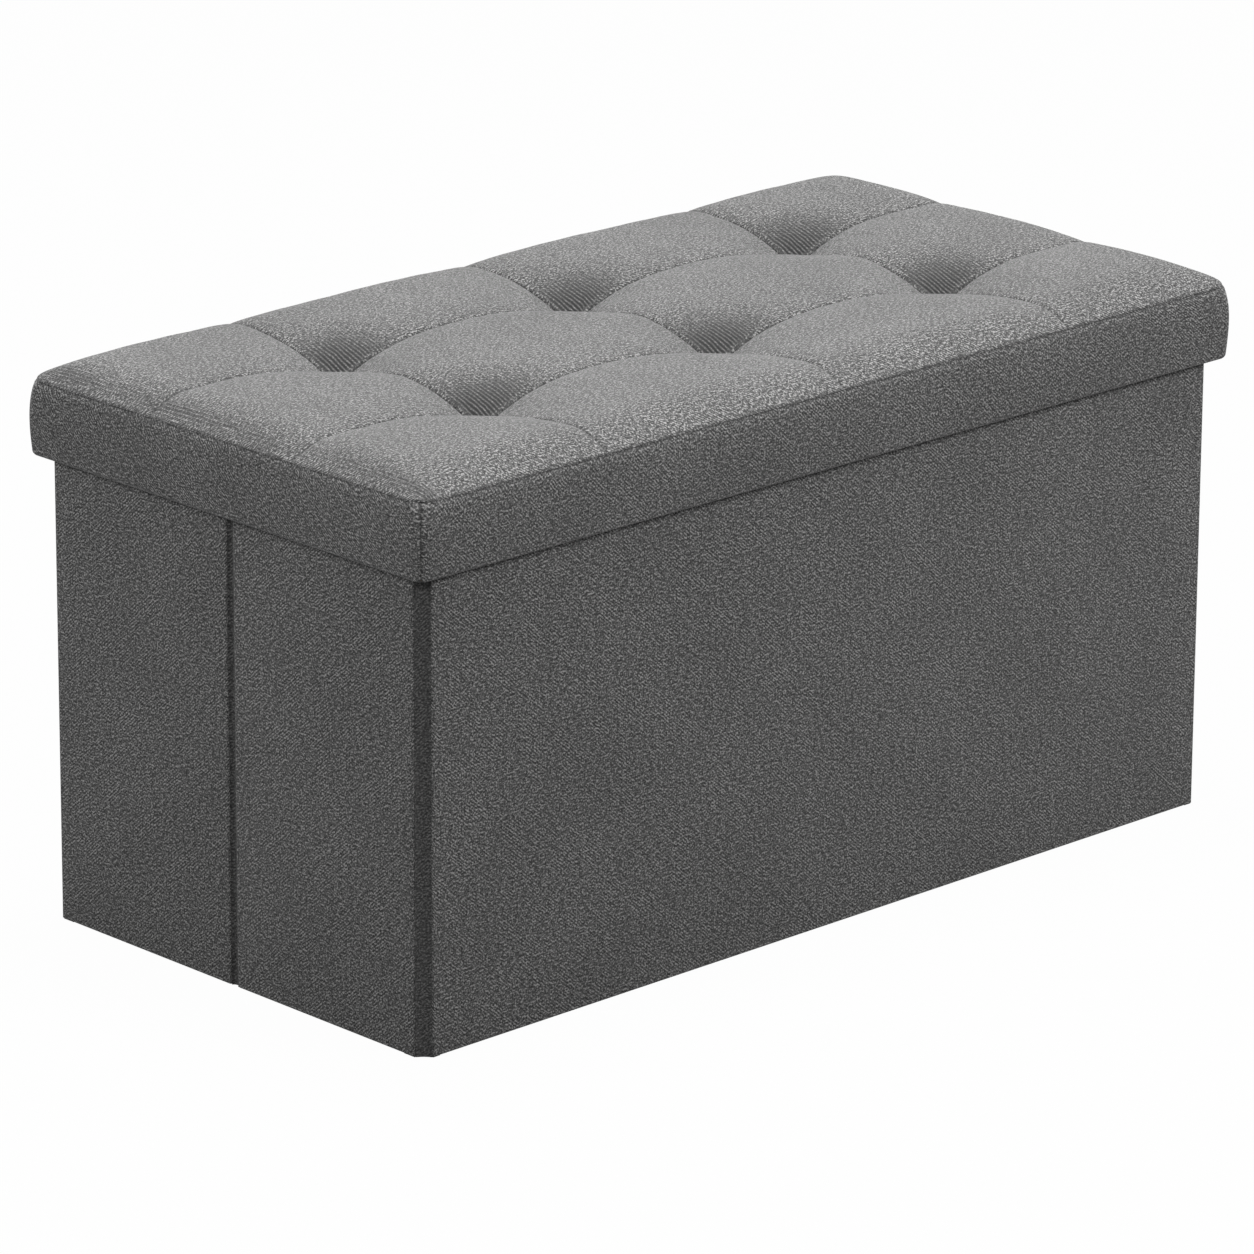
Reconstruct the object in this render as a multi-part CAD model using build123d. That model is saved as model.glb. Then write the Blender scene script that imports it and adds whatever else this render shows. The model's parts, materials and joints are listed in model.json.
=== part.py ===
from build123d import *
import math
import os

# A folding storage bench: four fabric-covered board walls, with ends that fold inward at their
# middle, a floor panel hinged to the rear wall, and a padded, tufted lid that lifts off.
# Millimetres. X runs along the bench, Y from the front (-Y) to the rear, Z up.
# The origin is on the ground under the centre of the bench.

# ---- driving dimensions ----
CASE_LENGTH = 741.0        # outside of the walls along X
CASE_DEPTH = 371.0         # outside of the walls along Y
CASE_TOP = 348.0           # top edge of the walls
WALL_COVER = 1.2           # fabric on the outside of a wall
WALL_BOARD = 6.0           # board in a wall
WALL_LINING = 0.8          # lining on the inside of a wall
EDGE_ROUND = 2.5           # rounding of a wall's outer upright edges
CORNER_GAP = 0.5           # between a long wall's inside and the edge of a half end
MID_GROOVE = 6.0           # gap between the two halves of an end
HINGE_INSET = 4.0          # corner fold axis, from the half's corner edge
MID_AXIS_PROUD = 0.3       # middle fold axis, out from the end's face
STRIP = 1.2                # fabric of the fold strips
RUNNING_GAP = 0.3          # between pieces that move past each other

FLOOR_BOARD = 2.0          # hardboard of the floor panel
FLOOR_LINING = 0.6         # lining on top of the floor panel
FLOOR_SWEEP_GAP = 0.5      # between the floor panel and the wall edges that pass over it
FLOOR_END_GAP = 8.0        # floor panel to the end linings
FLOOR_FRONT_GAP = 6.4      # floor panel to the front lining, so that it stands up under the lid
FLOOR_STRIP = 1.4          # fabric strip that hinges the floor panel
FLOOR_STRIP_TOP = 14.0     # its upper edge on the rear wall
FINGER_NOTCH = 14.0        # radius of the notch that a finger lifts the floor panel by

LID_BOTTOM = 326.0         # lower edge of the lid's sides
LID_SEAM = 378.0           # seam between the lid's sides and its seat
LID_CROWN = 393.0          # top of the seat
LID_CLEAR = 2.0            # walls to the inside of the lid's sides
LID_TURN_IN = 0.8          # fabric turned in behind the lid's sides
LID_RAIL = 3.5             # board in the lid's sides
LID_COVER = 1.2            # fabric on the lid
LID_BULGE = 2.0            # how far the lid's sides swell at mid height
LID_BOARD = 8.0            # board of the lid
LID_LINING = 0.8           # lining under the lid
LID_ROUND = 6.0            # upright corners of the lid, in plan
RAIL_SQUARE = 0.1          # least flat left beside the rounding of a rail's end
CROWN_ROUND = 34.0         # how far in the seat's edge starts to fall
SHOULDER_INSET = 9.0       # inset of the seat's shoulder
SHOULDER_RISE = 0.6        # its height, as a share of the crown's rise

TUFT_COLUMNS = 3
TUFT_ROWS = 2
TUFT_PITCH_X = 215.0
TUFT_PITCH_Y = 140.0
TUFT_DEPTH = 21.0          # from the crown down to the bottom of a tuft
TUFT_MOUTH = 42.0          # radius of a tuft at the crown
TUFT_NECK = 4.0            # radius at its bottom
TWINE_RADIUS = 1.0
TWINE_GAP = 0.5            # hole in the foam and board around the twine
WASHER_RADIUS = 9.0
WASHER_THICK = 1.2
WASHER_GAP = 0.5

PAD_HEIGHT = FLOOR_BOARD + FLOOR_LINING + FLOOR_SWEEP_GAP
PAD_INSET = 1.0            # foot pads, in from the wall's faces and ends
LONG_PAD = 6.0             # length of a front wall foot pad, which passes the floor panel's end
HALF_PAD = 10.0            # length of a foot pad under half an end
REAR_PAD = 24.0            # length of a rear wall foot pad

STAPLE_LENGTH = 10.0
STAPLE_WIDTH = 1.2
STAPLE_THICK = 0.5
STAPLE_PITCH = 72.0
STAPLE_INSET = 40.0        # line of staples, in from the inside of the lid

# ---- worked out ----
WALL = WALL_COVER + WALL_BOARD + WALL_LINING
CORNER_CELL = WALL + CORNER_GAP
WALL_HEIGHT = CASE_TOP - PAD_HEIGHT
HALF_X = CASE_LENGTH / 2
HALF_Y = CASE_DEPTH / 2
LONG_WALL = CASE_LENGTH - 2 * CORNER_CELL
HALF_END = HALF_Y - CORNER_CELL - MID_GROOVE / 2
FLOOR_THICK = FLOOR_BOARD + FLOOR_LINING
FLOOR_AXIS_Z = FLOOR_THICK / 2
FLOOR_STRIP_FACE = HALF_Y - WALL + WALL_LINING - FLOOR_STRIP
FLOOR_AXIS_Y = FLOOR_STRIP_FACE - RUNNING_GAP - FLOOR_THICK / 2
FLOOR_FRONT_Y = -(HALF_Y - WALL - FLOOR_FRONT_GAP)
LID_HALF_X = HALF_X + LID_CLEAR
LID_HALF_Y = HALF_Y + LID_CLEAR
RAIL_OUT = LID_TURN_IN + LID_RAIL
LID_OVERHANG = RAIL_OUT + LID_COVER
LINING_BOTTOM = CASE_TOP + RUNNING_GAP
BOARD_BOTTOM = LINING_BOTTOM + LID_LINING
BOARD_TOP = BOARD_BOTTOM + LID_BOARD
RAIL_BOTTOM = LID_BOTTOM + LID_COVER
RAIL_ROUND = min(LID_ROUND - LID_COVER, LID_RAIL - RAIL_SQUARE)
TUFT_BOTTOM = LID_CROWN - TUFT_DEPTH
TUFTS = [
    ((i - (TUFT_COLUMNS - 1) / 2) * TUFT_PITCH_X, (j - (TUFT_ROWS - 1) / 2) * TUFT_PITCH_Y)
    for i in range(TUFT_COLUMNS)
    for j in range(TUFT_ROWS)
]


def block(x0, x1, y0, y1, z0, z1):
    """A box between two corners, given in any order along each axis."""
    size = (abs(x1 - x0), abs(y1 - y0), abs(z1 - z0))
    return Pos((x0 + x1) / 2, (y0 + y1) / 2, (z0 + z1) / 2) * Box(*size)


def save(node, *solids):
    """Writes one sub-part, as one solid or as a group of separate ones."""
    shape = solids[0] if len(solids) == 1 else Compound(children=list(solids))
    shape.label = node
    export_step(shape, f"parts/{node}.step")


def panel(length, height, bare_below=0.0):
    """A covered wall panel as cover, board and lining: face at y = 0, inside towards +y."""
    board_back = WALL_COVER + WALL_BOARD
    shell = block(0, length, 0, board_back, 0, height)
    uprights = shell.edges().filter_by(Axis.Z).sort_by(Axis.Y)[:2]
    shell = fillet(uprights, EDGE_ROUND)
    ends = (WALL_COVER, length - WALL_COVER)
    board = block(*ends, WALL_COVER, board_back, WALL_COVER, height - WALL_COVER)
    lining = block(0, length, board_back, WALL, bare_below, height)
    return shell - board, board, lining


def mirror_x(shape):
    return mirror(shape, about=Plane.YZ)


def mirror_y(shape):
    return mirror(shape, about=Plane.XZ)


def save_panel(name, place, pieces):
    for kind, piece in zip(("cover", "board", "lining"), pieces):
        save(f"{name}_{kind}", place(piece))


def foot_pads(spans, face, back, along_x):
    """Foot pads under a wall whose faces are at face and back, over the given spans."""
    low = min(face, back) + PAD_INSET
    high = max(face, back) - PAD_INSET
    if along_x:
        return [block(a, b, low, high, 0, PAD_HEIGHT) for a, b in spans]
    return [block(low, high, a, b, 0, PAD_HEIGHT) for a, b in spans]


# ---- long walls ----
def front_place(piece):
    return Pos(-LONG_WALL / 2, -HALF_Y, PAD_HEIGHT) * piece


def rear_place(piece):
    return mirror_y(front_place(piece))


def long_walls():
    save_panel("front_wall", front_place, panel(LONG_WALL, WALL_HEIGHT))
    save_panel("rear_wall", rear_place, panel(LONG_WALL, WALL_HEIGHT, FLOOR_STRIP_TOP - PAD_HEIGHT))
    tip = LONG_WALL / 2 - PAD_INSET
    front = foot_pads([(-tip, LONG_PAD - tip), (tip - LONG_PAD, tip)], -HALF_Y, WALL - HALF_Y, True)
    save("front_wall_foot_pads", *front)
    spans = [(-tip, REAR_PAD - tip), (-REAR_PAD / 2, REAR_PAD / 2), (tip - REAR_PAD, tip)]
    save("rear_wall_foot_pads", *foot_pads(spans, HALF_Y, HALF_Y - WALL, True))


# ---- folding ends ----
def left_rear_place(piece):
    """Turns a panel to face -X and stands it between the rear corner and the middle groove."""
    return Pos(-HALF_X, HALF_Y - CORNER_CELL, PAD_HEIGHT) * Rot(0, 0, -90) * piece


def folding_ends():
    half = panel(HALF_END, WALL_HEIGHT)
    corner = HALF_Y - CORNER_CELL - PAD_INSET
    pad = foot_pads([(corner - HALF_PAD, corner)], -HALF_X, WALL - HALF_X, False)[0]
    strip_x = -HALF_X + WALL_COVER
    strip = block(strip_x, strip_x + STRIP, RUNNING_GAP - MID_GROOVE / 2, MID_GROOVE / 2, PAD_HEIGHT, CASE_TOP)
    for side, across in (("left", lambda s: s), ("right", mirror_x)):
        for end, along in (("rear", lambda s: s), ("front", mirror_y)):
            def place(piece):
                return across(along(left_rear_place(piece)))
            save_panel(f"{side}_{end}_half", place, half)
            save(f"{side}_{end}_half_foot_pad", across(along(pad)))
        save(f"{side}_middle_fold_strip", across(strip))


def corner_strips():
    """Slanted fabric strips across the four open corners, fixed to the ends of the long walls."""
    root = (CORNER_CELL, EDGE_ROUND + 1.0)
    tip = (EDGE_ROUND + 1.0, CORNER_CELL - RUNNING_GAP)
    lean = math.atan2(tip[1] - root[1], tip[0] - root[0])
    off = (-STRIP * math.sin(lean), STRIP * math.cos(lean))
    points = [root, tip, (tip[0] - off[0], tip[1]), (root[0], root[1] - off[1])]
    corners = [(x - HALF_X, HALF_Y - y) for x, y in points]
    outline = make_face(Polyline(*corners, close=True))
    strip = Pos(0, 0, PAD_HEIGHT) * extrude(outline, WALL_HEIGHT)
    save("left_rear_corner_strip", strip)
    save("right_rear_corner_strip", mirror_x(strip))
    save("left_front_corner_strip", mirror_y(strip))
    save("right_front_corner_strip", mirror_x(mirror_y(strip)))


# ---- floor panel ----
def floor_panel():
    """Panel on the ground whose rear edge is rounded about its hinge axis."""
    half_length = HALF_X - WALL - FLOOR_END_GAP
    plate = block(-half_length, half_length, FLOOR_FRONT_Y, FLOOR_AXIS_Y, 0, FLOOR_THICK)
    nose = Rot(0, 90, 0) * Cylinder(FLOOR_THICK / 2, 2 * half_length)
    plate = plate + Pos(0, FLOOR_AXIS_Y, FLOOR_AXIS_Z) * nose
    plate = plate - Pos(0, FLOOR_FRONT_Y, 0) * Cylinder(FINGER_NOTCH, 2 * FLOOR_THICK + 1)
    reach = CASE_LENGTH
    save("floor_board", plate & block(-reach, reach, -reach, reach, 0, FLOOR_BOARD))
    save("floor_lining", plate & block(-reach, reach, -reach, reach, FLOOR_BOARD, FLOOR_THICK))
    strip_back = FLOOR_STRIP_FACE + FLOOR_STRIP
    span = LONG_WALL / 2 - CORNER_CELL
    low = RUNNING_GAP
    strip = block(-span, span, FLOOR_STRIP_FACE, strip_back, low, FLOOR_STRIP_TOP)
    save("floor_hinge_strip", strip)


# ---- lid ----
def plan(out, z, corner=0.0):
    """The lid's outline at height z, out from the inside of its sides."""
    face = Rectangle(2 * (LID_HALF_X + out), 2 * (LID_HALF_Y + out))
    if corner > 0:
        face = fillet(face.vertices(), corner)
    return Pos(0, 0, z) * face


def lid_block(out, z0, z1):
    return block(-LID_HALF_X - out, LID_HALF_X + out, -LID_HALF_Y - out, LID_HALF_Y + out, z0, z1)


def wells(drop):
    """The tufts as cones about their twines, lowered by drop."""
    cone = Cone(TUFT_NECK, TUFT_MOUTH, TUFT_DEPTH, align=(Align.CENTER, Align.CENTER, Align.MIN))
    return [Pos(x, y, TUFT_BOTTOM - drop) * cone for x, y in TUFTS]


def crown(inset, bottom):
    """The crowned seat before it is tufted, smaller all round by inset, down to the height bottom."""
    top = LID_CROWN - inset
    seam = LID_SEAM - inset
    shoulder = seam + (top - seam) * SHOULDER_RISE
    corner = LID_ROUND - inset
    edge = LID_OVERHANG - inset
    rings = [
        plan(edge, seam, corner),
        plan(edge - SHOULDER_INSET, shoulder, corner),
        plan(edge - CROWN_ROUND, top, corner),
    ]
    body = loft(rings, ruled=True)
    if bottom < seam:
        body = body + extrude(plan(edge, bottom, corner), seam - bottom)
    return body


def tufted(inset, bottom):
    """The crowned seat with its tufts pulled down."""
    body = crown(inset, bottom)
    for well in wells(inset):
        body = body - well
    return body


def lid():
    axis_up = (Align.CENTER, Align.CENTER, Align.MIN)
    foam = tufted(LID_COVER, BOARD_TOP)
    seat = tufted(0, LID_SEAM) - foam
    board = lid_block(LID_TURN_IN, BOARD_BOTTOM, BOARD_TOP)
    hole = TWINE_RADIUS + TWINE_GAP
    seat_well = WASHER_THICK + RUNNING_GAP
    twine_foot = BOARD_BOTTOM + seat_well
    twines = []
    washers = []
    for x, y in TUFTS:
        bore = Pos(x, y, BOARD_BOTTOM) * Cylinder(hole, LID_CROWN - BOARD_BOTTOM, align=axis_up)
        recess = Cylinder(WASHER_RADIUS + WASHER_GAP, seat_well, align=axis_up)
        board = board - bore - Pos(x, y, BOARD_BOTTOM) * recess
        foam = foam - bore
        length = TUFT_BOTTOM - LID_COVER - twine_foot
        twines.append(Pos(x, y, twine_foot) * Cylinder(TWINE_RADIUS, length, align=axis_up))
        washer = Cylinder(WASHER_RADIUS, WASHER_THICK, align=axis_up)
        washers.append(Pos(x, y, twine_foot - WASHER_THICK) * washer)
    save("lid_foam_pad", foam)
    save("lid_seat_cover", seat)
    save("lid_board", board)
    save("tuft_twines", *twines)
    save("tuft_washers", *washers)
    staples = lid_staples()
    save("lid_lining", lid_block(LID_TURN_IN, LINING_BOTTOM, BOARD_BOTTOM) - staples)
    save("lid_staples", *staples)
    lid_sides()


def lid_sides():
    """The four rails and the band of fabric that wraps them and turns in behind."""
    in_x = LID_HALF_X + LID_TURN_IN
    in_y = LID_HALF_Y + LID_TURN_IN
    out_x = LID_HALF_X + RAIL_OUT
    out_y = LID_HALF_Y + RAIL_OUT
    rail = block(-out_x, out_x, -out_y, -in_y, RAIL_BOTTOM, BOARD_TOP)
    rail = fillet(rail.edges().filter_by(Axis.Z).sort_by(Axis.Y)[:2], RAIL_ROUND)
    save("lid_front_rail", rail)
    save("lid_rear_rail", mirror_y(rail))
    save("lid_left_rail", block(-out_x, -in_x, -in_y, in_y, RAIL_BOTTOM, BOARD_TOP))
    save("lid_right_rail", block(in_x, out_x, -in_y, in_y, RAIL_BOTTOM, BOARD_TOP))
    middle = (LID_BOTTOM + LID_SEAM) / 2
    rings = [
        plan(LID_OVERHANG, LID_BOTTOM, LID_ROUND),
        plan(LID_OVERHANG + LID_BULGE, middle, LID_ROUND),
        plan(LID_OVERHANG, LID_SEAM, LID_ROUND),
    ]
    band = loft(rings, ruled=True)
    band = band - extrude(plan(RAIL_OUT, RAIL_BOTTOM, RAIL_ROUND), BOARD_TOP - RAIL_BOTTOM)
    band = band - crown(LID_COVER, BOARD_TOP)
    band = band - extrude(plan(RAIL_OUT, LID_SEAM - LID_COVER, LID_ROUND - LID_COVER), LID_COVER)
    band = band - lid_block(0, LID_BOTTOM, RAIL_BOTTOM)
    turn_in = lid_block(LID_TURN_IN, LID_BOTTOM, LINING_BOTTOM) - lid_block(0, LID_BOTTOM, LINING_BOTTOM)
    save("lid_band_cover", band + turn_in)


def lid_staples():
    """Staple crowns pressed into the lid's lining, in a line round its underside."""
    solids = []
    high = LINING_BOTTOM + STAPLE_THICK
    for half, other, along_x in ((LID_HALF_X, LID_HALF_Y, True), (LID_HALF_Y, LID_HALF_X, False)):
        line = other - STAPLE_INSET
        run = half - STAPLE_INSET - STAPLE_LENGTH
        count = max(2, round(2 * run / STAPLE_PITCH) + 1)
        for k in range(count):
            centre = -run + 2 * run * k / (count - 1)
            for side in (-line, line):
                a, b = centre - STAPLE_LENGTH / 2, centre + STAPLE_LENGTH / 2
                c, d = side - STAPLE_WIDTH / 2, side + STAPLE_WIDTH / 2
                spans = (a, b, c, d) if along_x else (c, d, a, b)
                solids.append(block(*spans, LINING_BOTTOM, high))
    return solids


os.makedirs("parts", exist_ok=True)
long_walls()
folding_ends()
corner_strips()
floor_panel()
lid()
print("corner axis x, y:", -HALF_X + WALL, HALF_Y - CORNER_CELL - HINGE_INSET)
print("middle axis x:", -HALF_X - MID_AXIS_PROUD)
print("floor axis y, z:", FLOOR_AXIS_Y, FLOOR_AXIS_Z)
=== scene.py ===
"""Folding storage bench in charcoal melange twill: looks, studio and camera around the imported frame."""

import json
import logging
import math
from dataclasses import dataclass, field
from enum import Enum
from typing import Callable

import bpy
import numpy as np
from mathutils import Matrix, Vector


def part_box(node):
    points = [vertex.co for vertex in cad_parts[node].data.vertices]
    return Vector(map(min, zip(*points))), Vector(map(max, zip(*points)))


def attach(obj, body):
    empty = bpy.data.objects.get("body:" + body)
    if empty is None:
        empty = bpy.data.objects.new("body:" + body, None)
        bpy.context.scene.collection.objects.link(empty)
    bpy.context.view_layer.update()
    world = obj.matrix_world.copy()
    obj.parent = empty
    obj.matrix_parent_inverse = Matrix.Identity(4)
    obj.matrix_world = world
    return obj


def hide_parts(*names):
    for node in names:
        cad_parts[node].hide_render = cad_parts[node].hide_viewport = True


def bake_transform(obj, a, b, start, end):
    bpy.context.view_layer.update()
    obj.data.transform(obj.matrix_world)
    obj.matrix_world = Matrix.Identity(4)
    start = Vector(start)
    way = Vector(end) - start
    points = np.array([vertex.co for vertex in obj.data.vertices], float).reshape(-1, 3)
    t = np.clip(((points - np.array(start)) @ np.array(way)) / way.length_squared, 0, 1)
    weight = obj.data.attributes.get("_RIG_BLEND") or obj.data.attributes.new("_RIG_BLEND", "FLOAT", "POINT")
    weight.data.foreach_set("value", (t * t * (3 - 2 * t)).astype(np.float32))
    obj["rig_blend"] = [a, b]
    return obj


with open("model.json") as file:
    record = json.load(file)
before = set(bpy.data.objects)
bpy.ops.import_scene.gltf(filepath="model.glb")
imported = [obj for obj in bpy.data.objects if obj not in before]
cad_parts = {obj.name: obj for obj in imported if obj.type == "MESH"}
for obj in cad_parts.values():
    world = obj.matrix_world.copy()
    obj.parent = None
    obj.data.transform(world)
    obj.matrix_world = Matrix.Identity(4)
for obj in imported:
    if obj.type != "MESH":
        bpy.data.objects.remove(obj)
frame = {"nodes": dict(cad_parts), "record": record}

LOG = logging.getLogger("bench")
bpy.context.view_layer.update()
MM = 0.001
TOUCH = 0.01 * MM
SEED = 7


class Side(Enum):
    """Left and right end of the bench, with the sign of X there."""

    LEFT = ("left", -1.0)
    RIGHT = ("right", 1.0)


class End(Enum):
    """Front and rear of the bench, with the sign of Y there."""

    FRONT = ("front", -1.0)
    REAR = ("rear", 1.0)


# ---------------------------------------------------------------- mesh helpers


def deselect() -> None:
    """Leaves nothing selected."""
    if bpy.context.object and bpy.context.object.mode != "OBJECT":
        bpy.ops.object.mode_set(mode="OBJECT")
    bpy.ops.object.select_all(action="DESELECT")


def activate(obj: bpy.types.Object) -> None:
    """Makes obj the only selected object and the active one."""
    deselect()
    obj.select_set(True)
    bpy.context.view_layer.objects.active = obj


def corners_of(obj: bpy.types.Object) -> np.ndarray:
    """The places of obj's vertices, one row each."""
    flat = np.zeros(len(obj.data.vertices) * 3)
    obj.data.vertices.foreach_get("co", flat)
    return flat.reshape(-1, 3)


def place_corners(obj: bpy.types.Object, places: np.ndarray) -> None:
    """Moves obj's vertices to places."""
    obj.data.vertices.foreach_set("co", places.astype(np.float32).ravel())
    obj.data.update()


def set_uv(obj: bpy.types.Object, per_corner: np.ndarray) -> None:
    """Gives each face corner the UV of its vertex, in metres of cloth.

    Args:
        obj: the mesh object.
        per_corner: u and v of each vertex.
    """
    loops = np.zeros(len(obj.data.loops), int)
    obj.data.loops.foreach_get("vertex_index", loops)
    layer = obj.data.uv_layers.active or obj.data.uv_layers.new(name="cloth")
    layer.name = "cloth"
    layer.data.foreach_set("uv", per_corner[loops].astype(np.float32).ravel())


def set_mask(obj: bpy.types.Object, name: str, values: np.ndarray) -> None:
    """Stores one number per vertex under a name that materials read."""
    attribute = obj.data.attributes.new(name, "FLOAT", "POINT")
    attribute.data.foreach_set("value", values.astype(np.float32))


def edit(obj: bpy.types.Object, kind: str, chosen: np.ndarray) -> None:
    """Enters edit mode with the chosen edges or faces selected.

    Args:
        obj: the mesh object.
        kind: EDGE or FACE.
        chosen: one truth value per edge or face.
    """
    activate(obj)
    mesh = obj.data
    bpy.ops.object.mode_set(mode="EDIT")
    bpy.ops.mesh.select_mode(type=kind)
    bpy.ops.mesh.select_all(action="DESELECT")
    bpy.ops.object.mode_set(mode="OBJECT")
    items = mesh.edges if kind == "EDGE" else mesh.polygons
    items.foreach_set("select", chosen)
    bpy.ops.object.mode_set(mode="EDIT")


def leave_edit() -> None:
    """Goes back to object mode."""
    bpy.ops.object.mode_set(mode="OBJECT")


def merge(obj: bpy.types.Object, distance: float = 1e-6, outwards: bool = False) -> None:
    """Merges doubles.

    Args:
        obj: the mesh object.
        distance: how far apart doubles may lie.
        outwards: also turns the faces of a closed mesh outwards.
    """
    activate(obj)
    bpy.ops.object.mode_set(mode="EDIT")
    bpy.ops.mesh.select_all(action="SELECT")
    bpy.ops.mesh.remove_doubles(threshold=distance)
    if outwards:
        bpy.ops.mesh.normals_make_consistent(inside=False)
    leave_edit()


def tidy_closed(obj: bpy.types.Object, distance: float = 1e-6) -> None:
    """Merges doubles and turns a closed mesh's faces outwards."""
    merge(obj, distance, outwards=True)


def thicken(obj: bpy.types.Object, axis: int, level: float) -> None:
    """Closes an open surface into a solid with a flat back.

    Args:
        obj: the surface.
        axis: the way through it, 0 to 2.
        level: where its back lies along that axis.
    """
    edit(obj, "FACE", np.ones(len(obj.data.polygons), bool))
    bpy.ops.mesh.extrude_region_move()
    leave_edit()
    places = corners_of(obj)
    places[: len(places) // 2, axis] = level
    place_corners(obj, places)
    tidy_closed(obj)


def smooth(obj: bpy.types.Object, angle: float = 40.0) -> None:
    """Smooth shading, with edges sharper than angle kept crisp."""
    activate(obj)
    bpy.ops.object.shade_smooth_by_angle(angle=math.radians(angle))


def apply_modifier(obj: bpy.types.Object, kind: str, **settings: object) -> None:
    """Adds a modifier with these settings and applies it.

    Args:
        obj: the mesh object.
        kind: the modifier's type.
        settings: its properties by name.
    """
    activate(obj)
    modifier = obj.modifiers.new(kind.lower(), kind)
    for key, value in settings.items():
        setattr(modifier, key, value)
    bpy.ops.object.modifier_apply(modifier=modifier.name)


def grid(name: str, columns: int, rows: int) -> tuple[bpy.types.Object, np.ndarray, np.ndarray]:
    """A flat grid, ready to be mapped on a surface.

    Args:
        name: the new object's name.
        columns: quads along u.
        rows: quads along v.

    Returns:
        The object and the u and v of each vertex, both from 0 to 1.
    """
    deselect()
    bpy.ops.mesh.primitive_grid_add(x_subdivisions=columns, y_subdivisions=rows, size=2)
    obj = bpy.context.object
    obj.name = obj.data.name = name
    places = corners_of(obj)
    return obj, places[:, 0] * 0.5 + 0.5, places[:, 1] * 0.5 + 0.5


def cube(name: str, low: Vector, high: Vector) -> bpy.types.Object:
    """A box between two corners, with its place in its mesh.

    Args:
        name: the new object's name.
        low: its lowest corner.
        high: its highest corner.

    Returns:
        The box.
    """
    deselect()
    centre = (Vector(low) + Vector(high)) / 2
    size = Vector(high) - Vector(low)
    bpy.ops.mesh.primitive_cube_add(size=1, location=centre, scale=size)
    obj = bpy.context.object
    obj.name = obj.data.name = name
    bpy.ops.object.transform_apply(location=True, rotation=True, scale=True)
    return obj


def edge_facts(obj: bpy.types.Object) -> tuple[np.ndarray, np.ndarray]:
    """The middle and the direction of each edge, one row each.

    Args:
        obj: the mesh object.

    Returns:
        Middles, and directions with no sign.
    """
    places = corners_of(obj)
    pairs = np.zeros(len(obj.data.edges) * 2, int)
    obj.data.edges.foreach_get("vertices", pairs)
    a, b = places[pairs.reshape(-1, 2)[:, 0]], places[pairs.reshape(-1, 2)[:, 1]]
    span = b - a
    return (a + b) / 2, np.abs(span) / np.maximum(np.linalg.norm(span, axis=1)[:, None], 1e-9)


def face_normals(obj: bpy.types.Object) -> np.ndarray:
    """The normal of each face, one row each."""
    flat = np.zeros(len(obj.data.polygons) * 3)
    obj.data.polygons.foreach_get("normal", flat)
    return flat.reshape(-1, 3)


def ripple(x: np.ndarray, y: np.ndarray, wavelength: float, seed: int, waves: int = 9) -> np.ndarray:
    """A smooth uneven surface of about -1 to 1, the same on each run.

    Args:
        x: places along one way, in metres.
        y: places along the other way.
        wavelength: typical distance from crest to crest.
        seed: picks the pattern.
        waves: how many waves are added up.

    Returns:
        One height for each place.
    """
    rng = np.random.default_rng(seed)
    total = np.zeros_like(x)
    for _ in range(waves):
        turn = rng.uniform(0, 2 * math.pi)
        k = 2 * math.pi / (wavelength * rng.uniform(0.6, 1.7))
        total += np.sin(k * (x * math.cos(turn) + y * math.sin(turn)) + rng.uniform(0, 2 * math.pi))
    return total / math.sqrt(waves)


# ---------------------------------------------------------------- shader helpers


def set_inputs(node: bpy.types.Node, values: dict) -> None:
    """Sets a node's own sockets by name."""
    for key, value in values.items():
        node.inputs[key].default_value = value


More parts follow.
